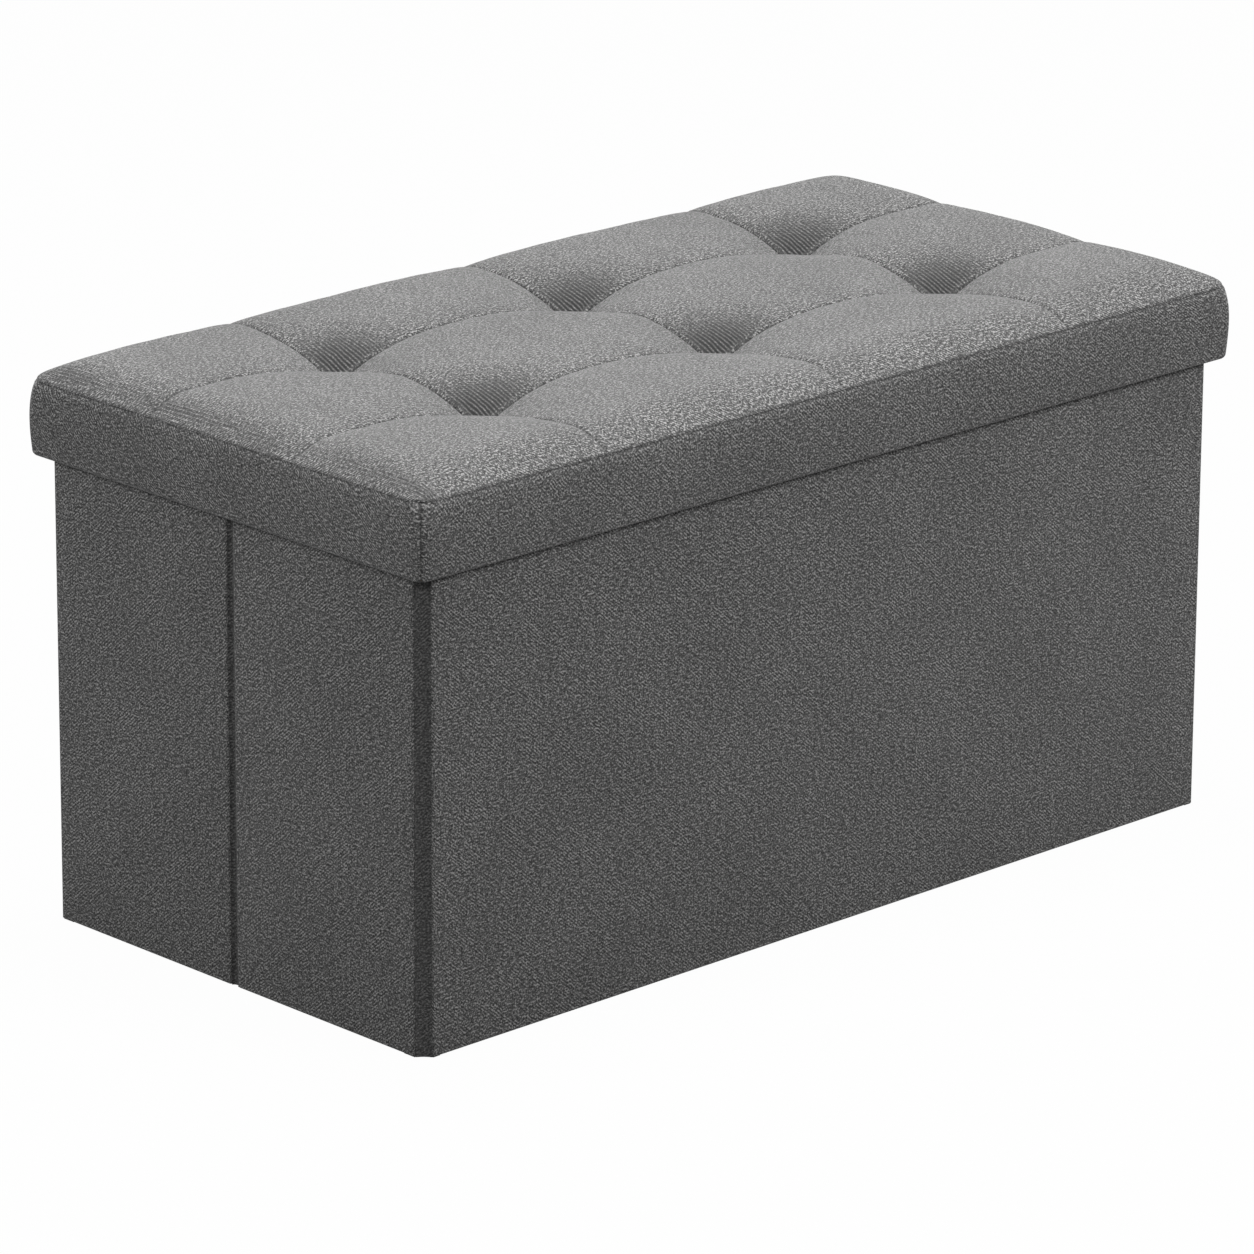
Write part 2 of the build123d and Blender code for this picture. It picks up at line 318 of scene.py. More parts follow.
class Nodes:
    """A node tree under construction, with short calls for what the finishes use."""

    def __init__(self, tree: bpy.types.NodeTree) -> None:
        """Starts on a tree."""
        self.tree = tree

    def add(self, kind: str, **settings: object) -> bpy.types.Node:
        """Adds a node and sets its properties.

        Args:
            kind: the node's type.
            settings: its properties by name.

        Returns:
            The node.
        """
        node = self.tree.nodes.new(kind)
        for key, value in settings.items():
            setattr(node, key, value)
        return node

    def link(self, source: object, target: bpy.types.NodeSocket) -> None:
        """Feeds a socket from another socket, or sets it to a plain value."""
        if isinstance(source, bpy.types.NodeSocket):
            self.tree.links.new(source, target)
        else:
            target.default_value = source

    def math(self, operation: str, a: object, b: object = 0.0, c: object = 0.0) -> bpy.types.NodeSocket:
        """One Math node.

        Args:
            operation: what it does.
            a: first socket or number.
            b: second one.
            c: third one.

        Returns:
            Its output.
        """
        node = self.add("ShaderNodeMath", operation=operation)
        for value, socket in zip((a, b, c), node.inputs):
            self.link(value, socket)
        return node.outputs[0]

    def ramp(
        self, value: object, low: float, high: float, to_low: float = 0.0, to_high: float = 1.0
    ) -> bpy.types.NodeSocket:
        """A smooth step from to_low to to_high as value goes from low to high.

        Args:
            value: socket that is read.
            low: where the step starts.
            high: where it ends.
            to_low: result before it.
            to_high: result after it.

        Returns:
            Its output.
        """
        node = self.add("ShaderNodeMapRange", interpolation_type="SMOOTHSTEP")
        for item, socket in zip((value, low, high, to_low, to_high), node.inputs):
            self.link(item, socket)
        return node.outputs[0]

    def noise(
        self, vector: object, scale: object, detail: float = 2.0, rough: float = 0.5
    ) -> bpy.types.NodeSocket:
        """Noise of about 0 to 1 at a scale in turns per metre.

        Args:
            vector: place.
            scale: turns per metre.
            detail: finer layers added.
            rough: weight of the finer layers.

        Returns:
            Its output.
        """
        node = self.add("ShaderNodeTexNoise")
        for key, value in {"Vector": vector, "Scale": scale, "Detail": detail, "Roughness": rough}.items():
            self.link(value, node.inputs[key])
        return node.outputs[0]

    def stretch(self, vector: object, scale: tuple, turn: float = 0.0) -> bpy.types.NodeSocket:
        """Scales and turns a vector about Z.

        Args:
            vector: place.
            scale: factor along each axis.
            turn: angle in radians.

        Returns:
            Its output.
        """
        node = self.add("ShaderNodeMapping")
        self.link(vector, node.inputs["Vector"])
        node.inputs["Rotation"].default_value = (0.0, 0.0, turn)
        node.inputs["Scale"].default_value = scale
        return node.outputs[0]

    def mix(self, share: object, a: object, b: object) -> bpy.types.NodeSocket:
        """Blends two colours.

        Args:
            share: how much of b.
            a: first colour.
            b: second colour.

        Returns:
            Its output.
        """
        node = self.add("ShaderNodeMix", data_type="RGBA")
        self.link(share, node.inputs[0])
        self.link(a, node.inputs[6])
        self.link(b, node.inputs[7])
        return node.outputs[2]


def build_group(name: str, inputs: dict, outputs: dict, fill: Callable) -> bpy.types.NodeTree:
    """Makes a shader node group.

    Args:
        name: the group's name.
        inputs: socket type by input name.
        outputs: socket type by output name.
        fill: called with the Nodes, the group's input node and its output node.

    Returns:
        The group's tree.
    """
    tree = bpy.data.node_groups.new(name, "ShaderNodeTree")
    for label, kind in inputs.items():
        tree.interface.new_socket(label, in_out="INPUT", socket_type=kind)
    for label, kind in outputs.items():
        tree.interface.new_socket(label, in_out="OUTPUT", socket_type=kind)
    nodes = Nodes(tree)
    fill(nodes, nodes.add("NodeGroupInput"), nodes.add("NodeGroupOutput"))
    return tree


def twill_group() -> bpy.types.NodeTree:
    """Melange twill: slanting ribs, light and dark fibres, slubs along the warp and soft shading."""

    slant, even = math.radians(41), (1.0, 1.0, 1.0)
    fibre_scale, thread_scale, slub_scale = 720.0, (250.0, 780.0, 1.0), (420.0, 30.0, 1.0)
    glint_scale, glint_turn, patch_scale, cloud_scale = 760.0, 1.1, 60.0, 11.0
    wander_scale, wander_size = 110.0, 6.0
    rib_share, thread_share, slub_share, glint_share, cloud_share = 0.26, 0.55, 0.10, 0.55, 0.14

    def fill(n: Nodes, given: bpy.types.Node, out: bpy.types.Node) -> None:
        """Lays out the group's nodes."""
        vector, pitch, fleck, base, pale, deep = given.outputs[:6]
        wander = n.math("MULTIPLY", n.noise(vector, wander_scale), wander_size)
        run = n.add("ShaderNodeSeparateXYZ")
        n.link(n.stretch(vector, even, slant), run.inputs[0])
        phase = n.math("MULTIPLY_ADD", run.outputs[1], n.math("DIVIDE", 2 * math.pi, pitch), wander)
        rib = n.math("MULTIPLY_ADD", n.math("SINE", phase), 0.5, 0.5)
        flecks = n.noise(vector, fibre_scale, 2.0, 0.7)
        threads = n.noise(n.stretch(vector, thread_scale, slant), 1.0, 2.0, 0.6)
        patch = n.ramp(n.noise(vector, patch_scale), 0.42, 0.62, 0.10, 0.60)
        ribs = n.math("MULTIPLY", patch, rib_share)
        weave = n.math("MULTIPLY_ADD", n.math("SUBTRACT", rib, 0.5), ribs, flecks)
        weave = n.math("MULTIPLY_ADD", n.math("SUBTRACT", threads, 0.5), thread_share, weave)
        glint = n.ramp(n.noise(n.stretch(vector, even, glint_turn), glint_scale, 0.0), 0.70, 0.80)
        slub = n.ramp(n.noise(n.stretch(vector, slub_scale), 1.0), 0.56, 0.80)
        cloud = n.ramp(n.noise(vector, cloud_scale, 4.0, 0.6), 0.30, 0.70, 0.0, cloud_share)
        tone = n.mix(n.math("MULTIPLY", n.ramp(weave, 0.50, 0.68), fleck), base, pale)
        tone = n.mix(n.math("MULTIPLY", n.ramp(weave, 0.50, 0.32), fleck), tone, deep)
        tone = n.mix(n.math("MULTIPLY", slub, slub_share), tone, pale)
        tone = n.mix(n.math("MULTIPLY", glint, glint_share), tone, pale)
        n.link(n.mix(cloud, tone, deep), out.inputs["Color"])
        n.link(n.math("MULTIPLY_ADD", slub, 0.08, weave), out.inputs["Height"])
        n.link(n.ramp(flecks, 0.3, 0.7, 0.78, 0.95), out.inputs["Roughness"])

    colour, number = "NodeSocketColor", "NodeSocketFloat"
    inputs = {"Vector": "NodeSocketVector", "Pitch": number, "Fleck": number}
    inputs.update({"Base": colour, "Light": colour, "Dark": colour})
    return build_group("melange twill", inputs, {"Color": colour, "Height": number, "Roughness": number}, fill)


def grain_group() -> bpy.types.NodeTree:
    """Fine uneven grain: a mask and a height, for board, lining, foam and moulded parts."""

    broad_scale, fine_share = 14.0, 0.65

    def fill(n: Nodes, given: bpy.types.Node, out: bpy.types.Node) -> None:
        """Lays out the group's nodes."""
        fine = n.noise(given.outputs["Vector"], given.outputs["Scale"], 3.0, 0.6)
        broad = n.noise(given.outputs["Vector"], broad_scale)
        both = n.math("MULTIPLY_ADD", broad, 1 - fine_share, n.math("MULTIPLY", fine, fine_share))
        mask = n.ramp(both, 0.35, 0.65)
        n.link(mask, out.inputs["Mask"])
        n.link(fine, out.inputs["Height"])

    number = "NodeSocketFloat"
    inputs = {"Vector": "NodeSocketVector", "Scale": number}
    return build_group("fine grain", inputs, {"Mask": number, "Height": number}, fill)


GROUPS = {"twill": twill_group(), "grain": grain_group()}


def start_material(name: str) -> tuple[Nodes, bpy.types.Node, bpy.types.Material]:
    """A new material with its nodes and its shader.

    Args:
        name: the material's name.

    Returns:
        Its nodes, its shader and the material.
    """
    material = bpy.data.materials.new(name)
    material.use_nodes = True
    nodes = Nodes(material.node_tree)
    return nodes, material.node_tree.nodes["Principled BSDF"], material


def grey(level: float, warm: float = 0.0) -> tuple[float, float, float, float]:
    """A grey of this lightness, a little warm or cool."""
    return (level * (1 + warm), level, level * (1 - warm), 1.0)


@dataclass(frozen=True)
class MelangeTwill:
    """The bench's cloth. With gathers it also has pleats beside the tufts and needle holes, and painted shade
    in the pleat valleys, along the seams and in the needle holes.
    """

    name: str = "melange twill"
    base: float = 0.059
    light: float = 0.28
    dark: float = 0.008
    fleck: float = 0.92
    pitch: float = 1.9 * MM
    bump: float = 0.45
    bump_reach: float = 0.5 * MM
    gathers: bool = False
    calm: float = 0.35
    pleat_pitch: float = 2.7 * MM
    pleat_height: float = 3.0
    # darkness of the painted shade in the pleat valleys
    pleat_valley_shade: float = 0.95
    # darkness of the painted shade along the seam creases
    seam_shade_strength: float = 0.62
    stitch_pitch: float = 3.4 * MM
    hole_depth: float = 1.4
    # darkness of the painted shade in the needle holes
    needle_hole_shade: float = 0.85

    def make(self) -> bpy.types.Material:
        """Builds the material."""
        n, shader, material = start_material(self.name)
        cloth = n.add("ShaderNodeUVMap", uv_map="cloth")
        weave = n.add("ShaderNodeGroup", node_tree=GROUPS["twill"])
        n.link(cloth.outputs[0], weave.inputs["Vector"])
        values = {"Pitch": self.pitch, "Fleck": self.fleck, "Base": grey(self.base, 0.004)}
        values.update({"Light": grey(self.light, 0.01), "Dark": grey(self.dark)})
        set_inputs(weave, values)
        colour, height = weave.outputs["Color"], weave.outputs["Height"]
        if self.gathers:
            pull = n.add("ShaderNodeAttribute", attribute_name="gather")
            fleck = n.ramp(pull.outputs["Fac"], 0.1, 0.9, self.fleck, self.fleck * self.calm)
            n.link(fleck, weave.inputs["Fleck"])
            colour, height = self.add_gathers(n, cloth.outputs[0], colour, height)
        bump = n.add("ShaderNodeBump")
        set_inputs(bump, {"Strength": self.bump, "Distance": self.bump_reach})
        n.link(height, bump.inputs["Height"])
        n.link(colour, shader.inputs["Base Color"])
        n.link(weave.outputs["Roughness"], shader.inputs["Roughness"])
        n.link(bump.outputs[0], shader.inputs["Normal"])
        set_inputs(shader, {"Specular IOR Level": 0.18, "Sheen Weight": 0.12, "Sheen Roughness": 0.5})
        return material

    def add_gathers(self, n: Nodes, vector: object, colour: object, height: object) -> tuple:
        """Adds the fine pleats beside the tufts and the needle holes along the seams, with painted shade in the
        pleat valleys, along the seams and in the needle holes.

        Args:
            n: the material's nodes.
            vector: place on the cloth.
            colour: the cloth's colour so far.
            height: the cloth's height so far.

        Returns:
            The new colour and height.
        """
        pull, joint, needle = (
            n.add("ShaderNodeAttribute", attribute_name=name).outputs["Fac"]
            for name in ("gather", "joint", "needle")
        )
        parts = n.add("ShaderNodeSeparateXYZ")
        n.link(vector, parts.inputs[0])
        # colour of the painted shade along the seams and in the needle holes
        black = grey(self.dark * 0.5)
        wander = n.math("MULTIPLY", n.noise(vector, 60.0), 5.0)
        along = n.math("MULTIPLY_ADD", parts.outputs[0], 2 * math.pi / self.pleat_pitch, wander)
        pleat = n.math("MULTIPLY", n.ramp(n.math("SINE", along), -0.3, 1.0), pull)
        height = n.math("MULTIPLY_ADD", pleat, self.pleat_height, height)
        # painted shade: between the pleat crests the gathers are darkened towards the dark fibre colour
        valley_shade = n.math("MULTIPLY", n.math("SUBTRACT", pull, pleat), self.pleat_valley_shade)
        colour = n.mix(valley_shade, colour, grey(self.dark))
        # painted shade: a thin dark line along the seam creases
        colour = n.mix(n.math("MULTIPLY", joint, self.seam_shade_strength), colour, black)
        sway = n.math("ADD", parts.outputs[0], parts.outputs[1])
        stitch = n.math("SINE", n.math("MULTIPLY", sway, 2 * math.pi / self.stitch_pitch))
        hole = n.math("MULTIPLY", n.ramp(stitch, -0.2, 0.6, 0.45, 1.0), needle)
        # painted shade: the needle holes are darkened as well as sunk
        colour = n.mix(n.math("MULTIPLY", hole, self.needle_hole_shade), colour, black)
        return colour, n.math("MULTIPLY_ADD", hole, -self.hole_depth, height)


@dataclass(frozen=True)
class PlainFinish:
    """A finish with a fine grain: board, lining, foam, twine, rubber, plastic or wire."""

    name: str
    low: tuple[float, float, float]
    high: tuple[float, float, float]
    scale: float = 700.0
    roughness: float = 0.8
    metallic: float = 0.0
    bump: float = 0.2
    sheen: float = 0.0
    bump_reach: float = 0.3 * MM

    def make(self) -> bpy.types.Material:
        """Builds the material."""
        n, shader, material = start_material(self.name)
        place = n.add("ShaderNodeTexCoord")
        grain = n.add("ShaderNodeGroup", node_tree=GROUPS["grain"])
        n.link(place.outputs["Object"], grain.inputs["Vector"])
        grain.inputs["Scale"].default_value = self.scale
        n.link(n.mix(grain.outputs["Mask"], (*self.low, 1.0), (*self.high, 1.0)), shader.inputs["Base Color"])
        rough = n.ramp(grain.outputs["Mask"], 0.0, 1.0, self.roughness * 0.9, min(1.0, self.roughness * 1.1))
        n.link(rough, shader.inputs["Roughness"])
        bump = n.add("ShaderNodeBump")
        set_inputs(bump, {"Strength": self.bump, "Distance": self.bump_reach})
        n.link(grain.outputs["Height"], bump.inputs["Height"])
        n.link(bump.outputs[0], shader.inputs["Normal"])
        set_inputs(shader, {"Metallic": self.metallic, "Specular IOR Level": 0.3, "Sheen Weight": self.sheen})
        return material


FINISHES = {
    "cover_fabric": MelangeTwill().make(),
    "seat_fabric": MelangeTwill("tufted melange twill", gathers=True).make(),
    # fold strips: the cover cloth made darker, painted shade for the recessed corners and middle grooves
    "fold_fabric": MelangeTwill("fold melange twill in painted shade", base=0.036, light=0.11, dark=0.009).make(),
    "lining": PlainFinish("black lining", (0.020,) * 3, (0.045,) * 3, 900.0, 0.85, bump=0.5, sheen=0.1).make(),
    "board": PlainFinish("fibreboard", (0.33, 0.23, 0.14), (0.46, 0.34, 0.22), 900.0, 0.85).make(),
    "hardboard": PlainFinish("hardboard", (0.10, 0.055, 0.03), (0.17, 0.10, 0.055), 600.0, 0.6).make(),
    "foam": PlainFinish("foam", (0.72, 0.64, 0.42), (0.86, 0.80, 0.60), 500.0, 0.95, bump=0.8).make(),
    "twine": PlainFinish("waxed twine", (0.03,) * 3, (0.07,) * 3, 2500.0, 0.6, bump=0.6).make(),
    "washer": PlainFinish("black plastic", (0.02,) * 3, (0.03,) * 3, 1500.0, 0.45, bump=0.1).make(),
    "staple_wire": PlainFinish(
        "galvanised wire", (0.50, 0.51, 0.52), (0.62, 0.63, 0.64), 900.0, roughness=0.35, metallic=1.0
    ).make(),
    "foot_rubber": PlainFinish("black rubber", (0.012,) * 3, (0.022,) * 3, 900.0, 0.75).make(),
}


def dress(obj: bpy.types.Object, finish: str, slot: str, body: str, *nodes: str) -> None:
    """Gives a piece its finish, its body and the CAD nodes that it stands for.

    Args:
        obj: the piece.
        finish: key of its finish.
        slot: the record's material slot; not used.
        body: the body that it rides on, unless it blends.
        nodes: CAD nodes that it replaces.
    """
    obj.data.materials.clear()
    obj.data.materials.append(FINISHES[finish])
    if "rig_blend" not in obj:
        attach(obj, body)
    if nodes:
        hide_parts(*nodes)
    LOG.info("%s on %s", obj.name, body)


# ---------------------------------------------------------------- linings


@dataclass(frozen=True)
class LiningSheet:
    """A thin sheet glued to a board, flat along its edge and slightly uneven inside it.

    Sink is how deep the face lies, as a share of the sheet's thickness.
    """

    name: str
    node: str
    face: Vector
    body: str
    seed: int
    spacing: float = 12 * MM
    calm_edge: float = 15 * MM
    wavelength: float = 90 * MM
    sink: float = 0.22
    swing: float = 0.18
    edge_sink: float = 0.25

    def build(self) -> bpy.types.Object:
        """Builds the sheet in the place of its CAD node.

        Returns:
            The sheet.
        """
        low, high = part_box(self.node)
        through = int(np.argmax(np.abs(self.face)))
        a, b = [axis for axis in range(3) if axis != through]
        size = high - low
        columns, rows = (max(4, round(size[axis] / self.spacing)) for axis in (a, b))
        obj, u, v = grid(self.name, columns, rows)
        edge = np.minimum(np.minimum(u, 1 - u) * size[a], np.minimum(v, 1 - v) * size[b])
        back, outer = (low[through], high[through]) if self.face[through] > 0 else (high[through], low[through])
        inner = np.clip(edge / self.calm_edge, 0, 1)
        places = np.zeros((len(u), 3))
        places[:, a] = low[a] + u * size[a]
        places[:, b] = low[b] + v * size[b]
        wave = ripple(places[:, a], places[:, b], self.wavelength, self.seed)
        sink = (self.sink + self.swing * wave) * inner + self.edge_sink * (1 - inner)
        places[:, through] = outer + (back - outer) * np.clip(sink, 0.05, 0.75)
        place_corners(obj, places)
        thicken(obj, through, back)
        smooth(obj)
        dress(obj, "lining", "lining", self.body, self.node)
        return obj


# ---------------------------------------------------------------- walls


@dataclass
class Wall:
    """One covered board wall of the case: its cover and its lining."""

    name: str
    body: str
    face: Vector
    hem: float = 0.3 * MM
    cloth: float = 1.2 * MM
    rounding: float = 2.2 * MM
    foot_rounding: float = 1.4 * MM

    def build(self, seed: int) -> None:
        """Builds the wall's visible pieces."""
        self.build_cover()
        LiningSheet(f"{self.name}-lining", f"{self.name}_lining", -self.face, self.body, seed).build()

    def build_cover(self) -> None:
        """A shell of cloth over the board, open towards the lining, down to just above the ground."""
        node = f"{self.name}_cover"
        low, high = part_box(node)
        low.z = self.hem
        obj = cube(f"{self.name}-cover", low, high)
        through = int(np.argmax(np.abs(self.face)))
        sign = self.face[through]
        centre = (low + high) / 2
        middle, way = edge_facts(obj)
        front = sign * (middle[:, through] - centre[through]) > 0
        self.round_edges(obj, front & (way[:, 2] > 0.9), self.rounding, 4)
        middle, way = edge_facts(obj)
        front = sign * (middle[:, through] - centre[through]) > 0
        foot = (middle[:, 2] < low.z + TOUCH) & front & (way[:, through] < 0.999)
        self.round_edges(obj, foot, self.foot_rounding, 3)
        edit(obj, "FACE", face_normals(obj) @ np.array(self.face) < -0.9)
        bpy.ops.mesh.inset(thickness=self.cloth)
        hollow = high[through] - low[through] - self.cloth
        bpy.ops.mesh.extrude_region_move(TRANSFORM_OT_translate={"value": self.face * hollow})
        leave_edit()
        tidy_closed(obj)
        self.lay_cloth(obj, low, high)
        smooth(obj)
        dress(obj, "cover_fabric", "cover_fabric", self.body, node)

    def round_edges(self, obj: bpy.types.Object, chosen: np.ndarray, radius: float, segments: int) -> None:
        """Rounds the chosen edges.

        Args:
            obj: the mesh object.
            chosen: one truth value per edge.
            radius: of the rounding.
            segments: faces across it.
        """
        edit(obj, "EDGE", chosen)
        bpy.ops.mesh.bevel(offset=radius, segments=segments, affect="EDGES")
        leave_edit()

    def lay_cloth(self, obj: bpy.types.Object, low: Vector, high: Vector) -> None:
        """Gives the cover its UVs, which run on round its rounded edges.

        Args:
            obj: the cover.
            low: its lowest corner.
            high: its highest corner.
        """
        through = int(np.argmax(np.abs(self.face)))
        along = 1 - through
        places = corners_of(obj)
        outer = high[through] if self.face[through] > 0 else low[through]
        depth = np.abs(outer - places[:, through])
        u = places[:, along] + np.sign(places[:, along] - (low[along] + high[along]) / 2) * depth
        v = places[:, 2] - np.where(places[:, 2] < low.z + self.foot_rounding, depth, 0)
        set_uv(obj, np.stack([u, v], axis=1))


# ---------------------------------------------------------------- fold strips


@dataclass
class FoldStrips:
    """The cloth that bends at the corners and in the middle grooves, in a darker copy of the cover cloth that
    paints the shade of these recesses.
    """

    cloth: float = 0.7 * MM
    hem: float = 0.3 * MM
    inset: float = 1.3 * MM
    bow: float = 0.8 * MM
    sag: float = 2.2 * MM
    tuck: float = 0.4 * MM
    half_tuck: float = 0.1 * MM
    hinge_share: float = 0.6
    rows: int = 40
    columns: int = 12

    def build(self) -> None:
        """Builds all six strips."""
        for side in Side:
            self.build_middle(side)
            for end in End:
                self.build_corner(side, end)

    def sheet(self, name: str, path: Callable, low: float, high: float) -> bpy.types.Object:
        """An upright strip along a path in plan, with the thickness of cloth.

        Args:
            name: the piece's name.
            path: gives x and y for a share from 0 to 1 across the strip.
            low: height of its lower edge.
            high: height of its upper edge.

        Returns:
            The strip.
        """
        obj, u, v = grid(name, self.columns, self.rows)
        x, y = path(u)
        z = low + v * (high - low)
        place_corners(obj, np.stack([x, y, z], axis=1))
        first, last = np.argmin(u), np.argmax(u)
        set_uv(obj, np.stack([u * math.hypot(x[last] - x[first], y[last] - y[first]), z], axis=1))
        apply_modifier(obj, "SOLIDIFY", thickness=self.cloth, offset=0.0)
        tidy_closed(obj)
        smooth(obj, 60)
        return obj

    def build_middle(self, side: Side) -> None:
        """The strip that dips into the groove between the two halves of an end.

        Args:
            side: which end of the bench.
        """
        label, sign = side.value
        node = f"{label}_middle_fold_strip"
        low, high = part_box(node)
        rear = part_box(f"{label}_rear_half_cover")[0].y
        outer = sign * max(abs(low.x), abs(high.x))

        def path(u: np.ndarray) -> tuple[np.ndarray, np.ndarray]:
            """The strip's section: a shallow dip between its two edges."""
            across = 2 * u - 1
            return outer - sign * self.sag * (1 - across**2), across * (rear + self.tuck)

        obj = self.sheet(f"{label}-middle-fold-strip", path, self.hem, high.z)
        hinge = Vector((outer, rear * self.hinge_share, 0))
        bodies = (f"{label}_rear_half", f"{label}_front_half")
        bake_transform(obj, *bodies, start=hinge, end=(hinge.x, -hinge.y, 0))
        dress(obj, "fold_fabric", "fold_fabric", bodies[0], node)

    def reach(self, node: str) -> tuple[float, float, float]:
        """How far a CAD node reaches from the bench's middle along each axis."""
        low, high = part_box(node)
        return tuple(max(abs(a), abs(b)) for a, b in zip(low, high))

    def build_corner(self, side: Side, end: End) -> None:
        """The slanting strip across one open corner.

        Args:
            side: left or right.
            end: front or rear.
        """
        across, sx = side.value
        name, sy = end.value
        node = f"{across}_{name}_corner_strip"
        wall, half = f"{name}_wall", f"{across}_{name}_half"
        wall_tip, wall_face, _ = self.reach(f"{wall}_cover")
        half_face, half_tip, _ = self.reach(f"{half}_cover")
        start = Vector((sx * (wall_tip - self.tuck), sy * (wall_face - self.inset), 0))
        stop = Vector((sx * (half_face - self.inset), sy * (half_tip - self.half_tuck), 0))
        inward = Vector((-sx, -sy, 0)).normalized()

        def path(u: np.ndarray) -> tuple[np.ndarray, np.ndarray]:
            """The strip's section: from wall to half, bowed inwards."""
            bow = self.bow * 4 * u * (1 - u)
            x = start.x + (stop.x - start.x) * u + inward.x * bow
            return x, start.y + (stop.y - start.y) * u + inward.y * bow

        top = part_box(node)[1].z
        obj = self.sheet(f"{across}-{name}-corner-strip", path, self.hem, top)
        if (side, end) != (Side.RIGHT, End.FRONT):
            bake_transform(obj, wall, half, start=start, end=stop)
        dress(obj, "fold_fabric", "fold_fabric", wall, node)


# ---------------------------------------------------------------- lid


@dataclass
class Tuft:
    """One blind tuft: where the seat is pulled down."""

    x: float
    y: float


@dataclass
class Lid:
    """The lift-off lid: seat cover, foam, band of cloth round its sides and lining."""

    columns: tuple = (-215 * MM, 0.0, 215 * MM)
    rows: tuple = (-70 * MM, 70 * MM)
    well: float = 24 * MM
    well_reach: float = 112 * MM
    well_power: float = 2.6
    corner_rise: float = 0.36
    crease: float = 0.6
    fold_depth: float = 1.6 * MM
    fold_width: float = 6 * MM
    crown: float = 13.0 * MM
    swell: float = 3.6 * MM
    shoulder: float = 36 * MM
    shoulder_power: float = 2.3
    seam_groove: float = 0.8 * MM
    seam_width: float = 1.2 * MM
    cloth: float = 1.2 * MM
    bulge: float = 1.6 * MM
    plan_corner: float = 7 * MM
    seam_corner: float = 15 * MM
    seam_corner_fade: float = 10 * MM
    corner_groove: float = 0.7 * MM
    corner_seam: float = 0.06
    band_wave: float = 0.25 * MM
    seam_tuck: float = 1.1 * MM
    seam_tuck_reach: float = 0.035
    # width of the line of painted shade along each seam
    joint_line: float = 0.9 * MM
    lip: float = 3.2 * MM
    fine: float = 2.5 * MM
    edge_power: float = 2.5
    dents: float = 0.40 * MM
    small_dents: float = 0.15 * MM
    fold_height: float = 0.22 * MM
    fold_reach: float = 26 * MM
    fold_start: float = 6 * MM
    gather_reach: float = 40 * MM
    rim_place: float = 10 * MM
    rim_width: float = 8 * MM
    needle_line: float = 1.3 * MM
    foam_gap: float = 1.0 * MM
    twine: float = 1.0 * MM
    twist: float = 5 * MM
    knot: float = 1.7 * MM
    turn_in: float = 0.8 * MM
    side_steps: int = 16
    lip_steps: int = 6
    round_steps: int = 480
    tufts: list = field(default_factory=list)

    def __post_init__(self) -> None:
        """Reads the lid's size from the frame."""
        low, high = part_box("lid_seat_cover")
        self.half_x, self.half_y, self.seam_z = high.x, high.y, low.z
        self.tufts = [Tuft(x, y) for x in self.columns for y in self.rows]

    def build(self) -> None:
        """Builds the lid's visible pieces."""
        self.build_seat()
        self.build_foam()
        self.build_twines()
        self.build_band()
        LiningSheet("lid-lining", "lid_lining", Vector((0, 0, -1)), "lid", SEED + 40).build()

    # -- shape of the seat

    def seam_distance(self, x: np.ndarray, y: np.ndarray) -> np.ndarray:
        """How far each place lies from the nearest seam."""
        lines = [np.abs(x - line) for line in self.columns] + [np.abs(y - line) for line in self.rows]
        return np.min(lines, axis=0)

    def wells(self, x: np.ndarray, y: np.ndarray) -> np.ndarray:
        """How far the tufts pull each place down: steeper towards a field's middle than along a seam.

        Args:
            x: places along the bench.
            y: places across it.

        Returns:
            One depth for each place.
        """
        sink = np.zeros_like(x)
        for t in self.tufts:
            dx, dy = x - t.x, y - t.y
            r = np.hypot(dx, dy)
            off_seam = (2 * np.abs(dx * dy) / np.maximum(r, 1e-6) ** 2) ** self.crease
            share = np.clip(1 - r * (1 + self.corner_rise * off_seam) / self.well_reach, 0, 1)
            sink += (self.well * share**self.well_power) ** 3
        return np.cbrt(sink)

    def fields(self, x: np.ndarray, y: np.ndarray) -> np.ndarray:
        """Share of the swell: 1 in the middle of a field, 0 on the seams round it.

        Args:
            x: places along the bench.
            y: places across it.

        Returns:
            One share for each place.
        """
        share = np.ones_like(x)
        for places, lines, half in ((x, self.columns, self.half_x), (y, self.rows, self.half_y)):
            bounds = np.array([-half, *lines, half])
            index = np.clip(np.searchsorted(bounds, places, side="right") - 1, 0, len(bounds) - 2)
            at = (places - bounds[index]) / (bounds[index + 1] - bounds[index])
            share = share * (1 - np.abs(2 * np.clip(at, 0, 1) - 1) ** 2.4)
        return share

    def height(self, x: np.ndarray, y: np.ndarray) -> np.ndarray:
        """Height of the seat's cloth over a place in plan.

        Args:
            x: places along the bench.
            y: places across it.

        Returns:
            One height for each place.
        """
        dx, dy = (np.maximum(half - np.abs(at), 1e-7) for half, at in ((self.half_x, x), (self.half_y, y)))
        power = self.edge_power
        edge = self.shoulder_curve((dx**-power + dy**-power) ** (-1 / power))
        near = self.seam_distance(x, y)
        crown = self.crown + self.swell * self.fields(x, y)
        uneven = self.dents * ripple(x, y, 120 * MM, SEED) + self.small_dents * ripple(x, y, 38 * MM, SEED + 1)
        body = (crown + uneven + self.wrinkles(x, y)) * edge - self.wells(x, y) * np.sqrt(edge)
        body -= self.fold_depth * np.exp(-near / self.fold_width) * np.sqrt(edge)
        body -= self.seam_groove * np.exp(-((near / self.seam_width) ** 2)) * np.minimum(1, edge * 3)
        return self.seam_z + body

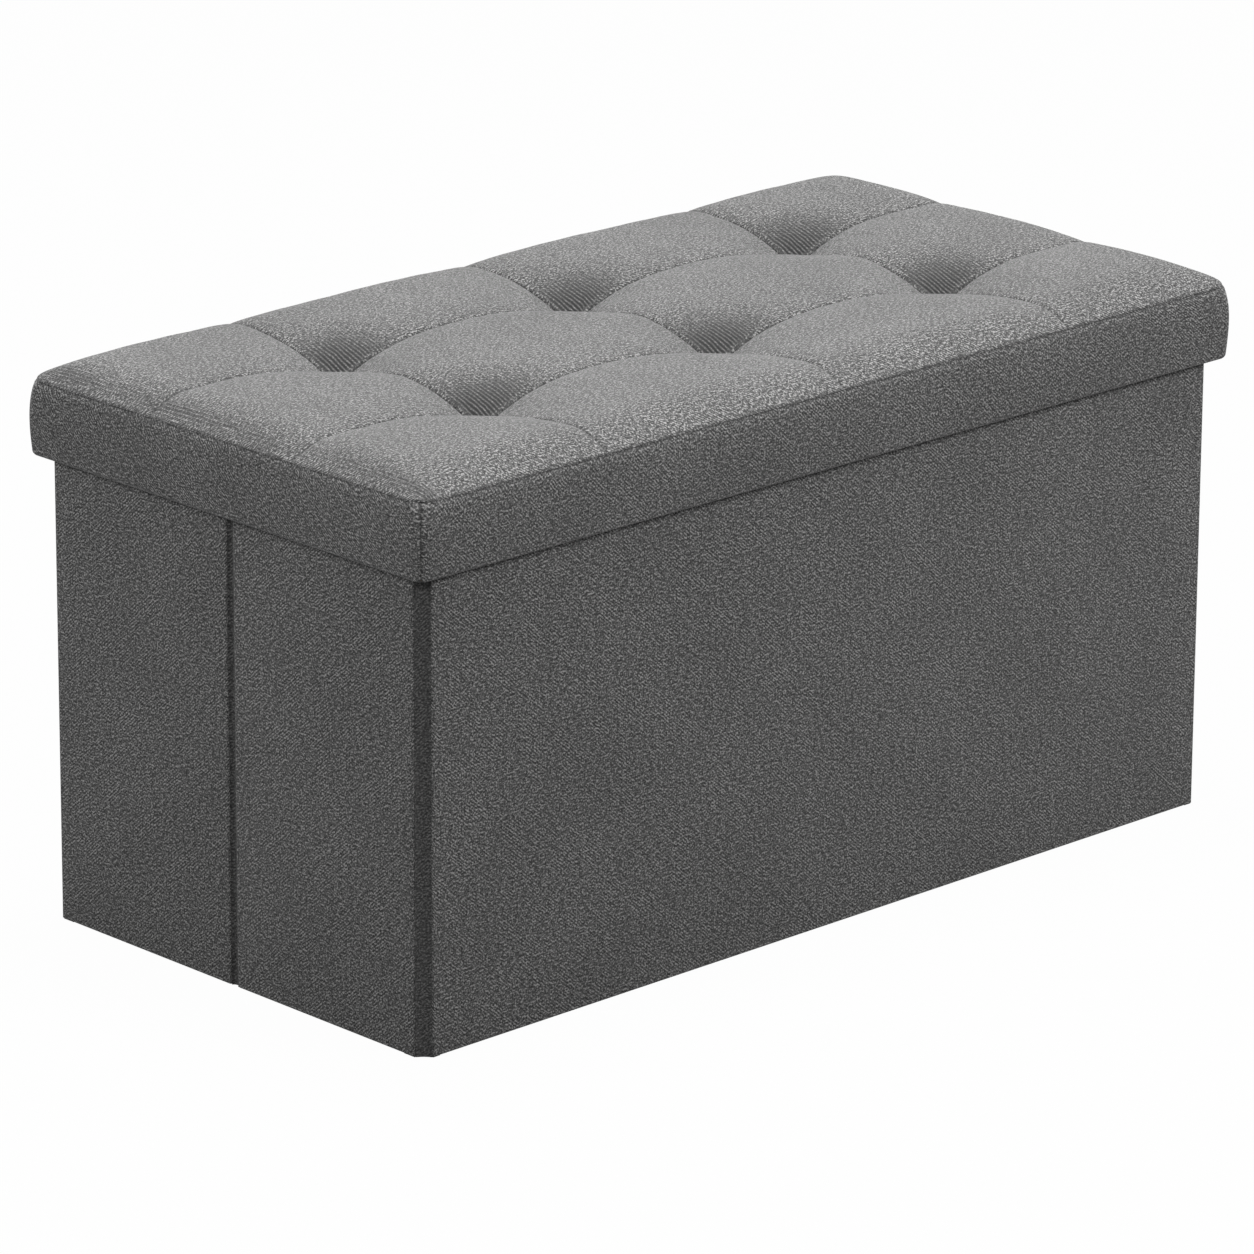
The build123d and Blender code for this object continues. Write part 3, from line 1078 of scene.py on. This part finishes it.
    def wrinkles(self, x: np.ndarray, y: np.ndarray) -> np.ndarray:
        """Soft folds that run out from each tuft.

        Args:
            x: places along the bench.
            y: places across it.

        Returns:
            One height for each place.
        """
        total = np.zeros_like(x)
        rng = np.random.default_rng(SEED + 2)
        for t in self.tufts:
            r = np.hypot(x - t.x, y - t.y)
            turn = np.arctan2(y - t.y, x - t.x)
            reach = np.exp(-r / self.fold_reach) * np.clip(r / self.fold_start, 0, 1)
            for count in (9, 13, 17):
                total += self.fold_height * reach * np.sin(count * turn + rng.uniform(0, 2 * math.pi))
        return total

    def shoulder_curve(self, distance: np.ndarray) -> np.ndarray:
        """Share of the crown's rise at a distance in from the edge."""
        return 1 - (1 - np.clip(distance / self.shoulder, 0, 1)) ** self.shoulder_power

    def spread(self, shares: np.ndarray, half: float, lines: tuple) -> np.ndarray:
        """Spaces grid lines closer together near seams and edges.

        Args:
            shares: even shares from 0 to 1.
            half: half the seat's size this way.
            lines: the seams this way.

        Returns:
            A place for each share.
        """
        closer, seam_reach, edge_reach = 1.6, 7 * MM, 9 * MM
        walk = np.linspace(-half, half, 6001)
        density = np.ones_like(walk)
        for line in lines:
            density += closer * np.exp(-(((walk - line) / seam_reach) ** 2))
        density += closer * np.exp(-(((half - np.abs(walk)) / edge_reach) ** 2))
        total = np.concatenate([[0], np.cumsum((density[1:] + density[:-1]) / 2)])
        places = np.interp(shares, total / total[-1], walk)
        for line in lines:
            nearest = places[np.argmin(np.abs(places - line))]
            places[np.isclose(places, nearest, rtol=0, atol=1e-7)] = line
        return places

    def round_plan(self, x: np.ndarray, y: np.ndarray, half_x: float, half_y: float, radius: float) -> tuple:
        """Presses the corners of a rectangle in plan to arcs.

        Args:
            x: places along the bench.
            y: places across it.
            half_x: half the rectangle along the bench.
            half_y: half of it across.
            radius: of its corners.

        Returns:
            The new x and y.
        """
        a = np.clip((np.abs(x) - (half_x - radius)) / radius, 0, 1)
        b = np.clip((np.abs(y) - (half_y - radius)) / radius, 0, 1)
        both = (a > 0) & (b > 0)
        new_x = np.where(both, np.sign(x) * (half_x - radius + radius * a * np.sqrt(1 - b**2 / 2)), x)
        new_y = np.where(both, np.sign(y) * (half_y - radius + radius * b * np.sqrt(1 - a**2 / 2)), y)
        return new_x, new_y

    def seat_surface(self, name: str, columns: int, rows: int, drop: float) -> bpy.types.Object:
        """A grid laid over the seat, lowered by drop.

        Args:
            name: the new object's name.
            columns: quads along the bench.
            rows: quads across it.
            drop: how far under the cloth it lies.

        Returns:
            The object, an open surface.
        """
        obj, u, v = grid(name, columns, rows)
        x = self.spread(u, self.half_x - drop, self.columns)
        y = self.spread(v, self.half_y - drop, self.rows)
        z = self.height(x, y) - drop
        near = self.seam_distance(x, y)
        edge = np.minimum(self.half_x - drop - np.abs(x), self.half_y - drop - np.abs(y))
        # the seam mask: a line of painted shade along each seam, read by the seat's cloth
        joint = 0.75 * np.exp(-((near / self.joint_line) ** 2)) * np.clip(edge / (3 * MM), 0, 1)
        set_mask(obj, "joint", joint)
        # needle holes along the perimeter seam: sunk by the bump and darkened as painted shade
        set_mask(obj, "needle", np.exp(-((edge / self.needle_line) ** 2)))
        set_mask(obj, "gather", self.gather_mask(x, y))
        set_uv(obj, np.stack([x, y], axis=1))
        x, y = self.round_plan(x, y, self.half_x - drop, self.half_y - drop, self.seam_corner - drop)
        place_corners(obj, np.stack([x, y, z], axis=1))
        return obj

    def gather_mask(self, x: np.ndarray, y: np.ndarray) -> np.ndarray:
        """Where the cloth is pulled into fine pleats, whose valleys get painted shade: two fields at each tuft
        and the seat's rim.

        Args:
            x: places along the bench.
            y: places across it.

        Returns:
            One share for each place.
        """
        mask = np.zeros_like(x)
        for t in self.tufts:
            dx, dy = x - t.x, y - t.y
            into = np.maximum(np.minimum(dx, dy), np.minimum(-dx, -dy))
            fade = np.exp(-((np.hypot(dx / 1.25, dy) / self.gather_reach) ** 3))
            mask = np.maximum(mask, fade * np.clip(0.12 + into / (5 * MM), 0, 1))
        end = self.half_x - np.abs(x)
        rim = 0.5 * np.exp(-(((end - self.rim_place) / self.rim_width) ** 2))
        patch = np.clip(0.65 + 0.4 * ripple(x, y, 80 * MM, SEED + 3), 0.1, 1)
        return np.clip(np.maximum(mask, rim * patch), 0, 1)

    def build_seat(self) -> None:
        """The tufted seat cover."""
        columns = round(2 * self.half_x / self.fine)
        rows = round(2 * self.half_y / self.fine)
        obj = self.seat_surface("seat-cover", columns, rows, 0.0)
        apply_modifier(obj, "SOLIDIFY", thickness=self.cloth, offset=-1.0, use_even_offset=False)
        smooth(obj, 75)
        dress(obj, "seat_fabric", "cover_fabric", "lid", "lid_seat_cover")

    def build_foam(self) -> None:
        """The foam pad, following the seat cover from below down to the lid's board."""
        low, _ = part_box("lid_foam_pad")
        obj = self.seat_surface("foam-pad", 110, 56, self.cloth + self.foam_gap)
        thicken(obj, 2, low.z)
        smooth(obj, 50)
        dress(obj, "foam", "foam", "lid", "lid_foam_pad")

    def build_twines(self) -> None:
        """The twisted twine of each tuft, from its knot under the washer up into the seat cover."""
        low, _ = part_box("tuft_twines")
        pieces = []
        for t in self.tufts:
            top = float(self.height(np.array([t.x]), np.array([t.y]))[0]) - 0.6 * self.cloth
            obj, u, v = grid(f"twine {len(pieces)}", 15, 40)
            turn = 2 * math.pi * u
            swirl = turn + v * (top - low.z) * 2 * math.pi / self.twist
            radius = self.twine * (0.86 + 0.14 * np.cos(2 * swirl))
            radius = radius * np.sqrt(np.clip(1 - np.abs(2 * v - 1) ** 24, 0.0001, 1))
            x, y = t.x + radius * np.cos(turn), t.y + radius * np.sin(turn)
            place_corners(obj, np.stack([x, y, low.z + v * (top - low.z)], axis=1))
            deselect()
            place = (t.x, t.y, low.z + self.knot * 0.5)
            bpy.ops.mesh.primitive_ico_sphere_add(subdivisions=3, radius=self.knot, location=place)
            bpy.ops.object.transform_apply(location=True, rotation=True, scale=True)
            pieces += [obj, bpy.context.object]
        deselect()
        for piece in pieces:
            piece.select_set(True)
        bpy.context.view_layer.objects.active = pieces[0]
        bpy.ops.object.join()
        obj = bpy.context.object
        obj.name = obj.data.name = "tuft-twines"
        tidy_closed(obj, TOUCH)
        smooth(obj, 60)
        dress(obj, "twine", "twine", "lid", "tuft_twines")

    # -- sides

    def band_profile(self) -> tuple[np.ndarray, np.ndarray]:
        """The band in section, from the top seam down the outside, round the lip and up the inside.

        Returns:
            Distance out from the seam line and height, for each point.
        """
        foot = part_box("lid_band_cover")[0].z
        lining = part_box("lid_lining")[0].z
        inner = self.inside_x() - self.half_x
        lip, out, z = self.lip, [], []
        for k in range(self.side_steps + 1):
            share = k / self.side_steps
            z.append(self.seam_z + (foot + lip - self.seam_z) * share)
            tuck = self.seam_tuck * math.exp(-((share / self.seam_tuck_reach) ** 2))
            out.append(self.bulge * math.sin(math.pi * min(1.0, share * 1.02)) ** 0.8 - tuck)
        for k in range(1, self.lip_steps + 1):
            turn = math.pi / 2 * k / self.lip_steps
            out.append(-lip + lip * math.cos(turn))
            z.append(foot + lip - lip * math.sin(turn))
        out += [inner + 1.0 * MM, inner, inner]
        z += [foot, foot + 1.0 * MM, lining]
        return np.array(out), np.array(z)

    def inside_x(self) -> float:
        """Inside of the lid's sides along the bench."""
        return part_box("lid_board")[1].x - self.turn_in

    def outline(self, step: np.ndarray, part: np.ndarray, out: np.ndarray, radius: np.ndarray) -> tuple:
        """A place round the lid in plan: straight sides joined by arcs.

        Args:
            step: which stretch, from 0 to 7, a side and then an arc in turn.
            part: share of that stretch.
            out: how far out from the seam line.
            radius: radius of the arcs before they move out.

        Returns:
            x and y.
        """
        flat_x, flat_y = self.half_x - radius, self.half_y - radius
        sign_x, sign_y = np.array([1, 1, -1, -1]), np.array([-1, 1, 1, -1])
        corner = step // 2
        cx, cy = sign_x[corner] * flat_x, sign_y[corner] * flat_y
        bx, by = sign_x[corner - 1] * flat_x, sign_y[corner - 1] * flat_y
        arc = step % 2 == 1
        angle = (corner - 1) * math.pi / 2 + np.where(arc, part * math.pi / 2, 0)
        x = np.where(arc, cx, bx + (cx - bx) * part) + (radius + out) * np.cos(angle)
        y = np.where(arc, cy, by + (cy - by) * part) + (radius + out) * np.sin(angle)
        return x, y

    def stretches(self, count: int) -> tuple[np.ndarray, np.ndarray, np.ndarray]:
        """Divides the lid's outline, closer together at its corners.

        Args:
            count: how many places round the outline.

        Returns:
            Stretch, share of the stretch and distance round, for each place.
        """
        arc_weight, arc_length = 14 * MM, 16 * MM
        weights = np.array([self.half_x / 5, arc_weight, self.half_y / 5, arc_weight] * 2)
        lengths = np.array([2 * self.half_x, arc_length, 2 * self.half_y, arc_length] * 2)
        ends = np.cumsum(weights) / weights.sum()
        at = np.linspace(0, 1, count)
        step = np.minimum(np.searchsorted(ends, at, side="left"), 7)
        first = np.concatenate([[0], ends])[step]
        part = np.clip((at - first) / (ends[step] - first), 0, 1)
        return step, part, np.concatenate([[0], np.cumsum(lengths)])[step] + part * lengths[step]

    def build_band(self) -> None:
        """The cloth round the lid's sides, turned in under the lip and up inside."""
        out, z = self.band_profile()
        count, lip_end = self.round_steps, self.side_steps + self.lip_steps
        obj, u, v = grid("lid-band-cover", count, len(out) - 1)
        step, part, around = (facts[np.round(u * count).astype(int)] for facts in self.stretches(count + 1))
        index = np.round(v * (len(out) - 1)).astype(int)
        height, offset = z[index], out[index]
        fade = np.exp(-(self.seam_z - height) / self.seam_corner_fade)
        radius = self.plan_corner + (self.seam_corner - self.plan_corner) * fade
        wave = ripple(around, height, 110 * MM, SEED + 5) * self.band_wave
        wave *= np.clip((index - 1) / 4, 0, 1) * np.clip((self.side_steps - 1 - index) / 4, 0, 1)
        middle = np.where(step % 2 == 1, np.exp(-(((part - 0.5) / self.corner_seam) ** 2)), 0)
        middle = middle * (index <= lip_end)
        proud = np.maximum(offset + wave - self.corner_groove * middle, -radius)
        x, y = self.outline(step, part, proud, radius)
        reach_x, reach_y = self.half_x + offset, self.half_y + offset
        inside = index > lip_end
        x = np.where(inside, np.clip(x, -reach_x, reach_x), x)
        y = np.where(inside, np.clip(y, -reach_y, reach_y), y)
        run = np.concatenate([[0], np.cumsum(np.hypot(np.diff(out), np.diff(z)))])
        set_uv(obj, np.stack([around, -run[index]], axis=1))
        # the corner seams get painted shade besides their real groove
        set_mask(obj, "joint", middle)
        set_mask(obj, "needle", np.exp(-((run[index] / self.needle_line) ** 2)))
        set_mask(obj, "gather", np.zeros(len(u)))
        place_corners(obj, np.stack([x, y, height], axis=1))
        merge(obj)
        apply_modifier(obj, "SOLIDIFY", thickness=self.turn_in, offset=-1.0)
        smooth(obj, 60)
        dress(obj, "seat_fabric", "cover_fabric", "lid", "lid_band_cover")


# ---------------------------------------------------------------- floor panel and plain parts


@dataclass
class FloorPanel:
    """The lining of the floor panel with its finger notch, and the cloth strip that hinges it."""

    notch: float = 14 * MM
    cutter_depth: float = 50 * MM
    cutter_sides: int = 64

    def build(self) -> None:
        """Builds both pieces."""
        hinge = "floor_hinge_strip"
        LiningSheet("floor-hinge-strip", hinge, Vector((0, -1, 0)), "rear_wall", SEED + 60).build()
        sheet = LiningSheet("floor-lining", "floor_lining", Vector((0, 0, 1)), "floor_panel", SEED + 61).build()
        low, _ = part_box("floor_lining")
        deselect()
        bpy.ops.mesh.primitive_cylinder_add(
            vertices=self.cutter_sides, radius=self.notch, depth=self.cutter_depth, location=(0, low.y, low.z)
        )
        cutter = bpy.context.object
        apply_modifier(sheet, "BOOLEAN", object=cutter, operation="DIFFERENCE", solver="EXACT")
        bpy.data.objects.remove(cutter)


def dress_cad_nodes() -> None:
    """Gives every CAD node that stays in view its finish."""
    slots = {part["node"]: part["material_slot"] for part in frame["record"]["subparts"]}
    for name, obj in frame["nodes"].items():
        obj.data.materials.clear()
        finish = "lining" if slots[name] in ("cover_fabric", "fold_fabric") else slots[name]
        obj.data.materials.append(FINISHES[finish])
        LOG.info("%s keeps its CAD shape, in %s", name, finish)


# ---------------------------------------------------------------- studio


@dataclass(frozen=True)
class Lamp:
    """A square soft light that looks at a height on the bench's middle line."""

    name: str
    place: tuple
    aim: float
    size: float
    power: float

    def build(self) -> None:
        """Adds the light."""
        data = bpy.data.lights.new(self.name, "AREA")
        data.size = self.size
        data.energy = self.power
        lamp = bpy.data.objects.new(self.name, data)
        bpy.context.scene.collection.objects.link(lamp)
        lamp.location = self.place
        aim = Vector((0, 0, self.aim)) - Vector(self.place)
        lamp.rotation_euler = aim.to_track_quat("-Z", "Y").to_euler()


LAMPS = (
    Lamp("overhead", (0.25, 0.15, 4.6), 0.30, 1.8, 305),
    Lamp("front", (1.3, -3.2, 2.6), 0.25, 1.3, 150),
    Lamp("left", (-3.3, 0.5, 2.3), 0.25, 1.2, 90),
)


@dataclass(frozen=True)
class Studio:
    """Pale floor, soft light and the camera."""

    azimuth: float = -43.8
    elevation: float = 18.15
    roll: float = 0.301
    distance: float = 5.376
    shift_right: float = -9.5 * MM
    shift_up: float = 158.6 * MM
    focal: float = 223.42
    sensor: float = 36.0
    floor_size: float = 40.0
    floor_drop: float = 0.4 * MM
    floor_grey: float = 0.16
    glow: float = 1.01
    glow_share: float = 0.97
    room: float = 0.34

    def build(self) -> None:
        """Builds everything that isn't the bench."""
        self.build_floor()
        self.build_lights()
        self.build_camera()

    def build_floor(self) -> None:
        """A large pale floor."""
        deselect()
        bpy.ops.mesh.primitive_plane_add(size=self.floor_size, location=(0, 0, -self.floor_drop))
        floor = bpy.context.object
        floor.name = "studio-floor"
        n, shader, material = start_material("pale floor")
        set_inputs(shader, {"Base Color": grey(self.floor_grey), "Roughness": 1.0, "Specular IOR Level": 0.0})
        glow = n.add("ShaderNodeEmission")
        glow.inputs[1].default_value = self.glow
        path = n.add("ShaderNodeLightPath")
        both = n.add("ShaderNodeMixShader")
        out = material.node_tree.nodes["Material Output"]
        n.link(n.math("MULTIPLY", path.outputs["Is Camera Ray"], self.glow_share), both.inputs[0])
        n.link(shader.outputs[0], both.inputs[1])
        n.link(glow.outputs[0], both.inputs[2])
        n.link(both.outputs[0], out.inputs[0])
        floor.data.materials.append(material)

    def build_lights(self) -> None:
        """A soft light overhead, weaker ones from the front and the left, and a pale room."""
        for lamp in LAMPS:
            lamp.build()
        world = bpy.data.worlds.new("room")
        bpy.context.scene.world = world
        world.use_nodes = True
        n = Nodes(world.node_tree)
        path = n.add("ShaderNodeLightPath")
        back = world.node_tree.nodes["Background"]
        back.inputs[0].default_value = grey(1.0)
        n.link(n.ramp(path.outputs["Is Camera Ray"], 0.0, 1.0, self.room, 1.0), back.inputs[1])

    def build_camera(self) -> None:
        """A long lens from the front left, a little above the seat."""
        a, e, r = (math.radians(d) for d in (self.azimuth, self.elevation, self.roll))
        back = Vector((math.sin(a) * math.cos(e), -math.cos(a) * math.cos(e), math.sin(e)))
        right = Vector((math.cos(a), math.sin(a), 0.0))
        up = back.cross(right)
        place = back * self.distance + right * self.shift_right + up * self.shift_up
        right, up = right * math.cos(r) + up * math.sin(r), up * math.cos(r) - right * math.sin(r)
        data = bpy.data.cameras.new("camera")
        data.lens = self.focal
        data.sensor_width = self.sensor
        data.clip_end = 100.0
        camera = bpy.data.objects.new("camera", data)
        bpy.context.scene.collection.objects.link(camera)
        turned = Matrix((right, up, back)).transposed().to_4x4()
        camera.matrix_world = Matrix.Translation(place) @ turned
        bpy.context.scene.camera = camera


def walls() -> list[Wall]:
    """The six covered walls of the case."""
    found = []
    for name, sign in (end.value for end in End):
        found.append(Wall(f"{name}_wall", f"{name}_wall", Vector((0, sign, 0))))
    for side in Side:
        label, sign = side.value
        for end in End:
            name = f"{label}_{end.value[0]}_half"
            found.append(Wall(name, name, Vector((sign, 0, 0))))
    return found


def main() -> None:
    """Builds the bench and its studio."""
    logging.basicConfig(level=logging.INFO)
    bpy.context.scene.view_settings.view_transform = "Standard"
    Studio().build()
    dress_cad_nodes()
    for seed, wall in enumerate(walls()):
        wall.build(SEED + 10 + seed)
    FoldStrips().build()
    FloorPanel().build()
    Lid().build()


if __name__ == "__main__":
    main()
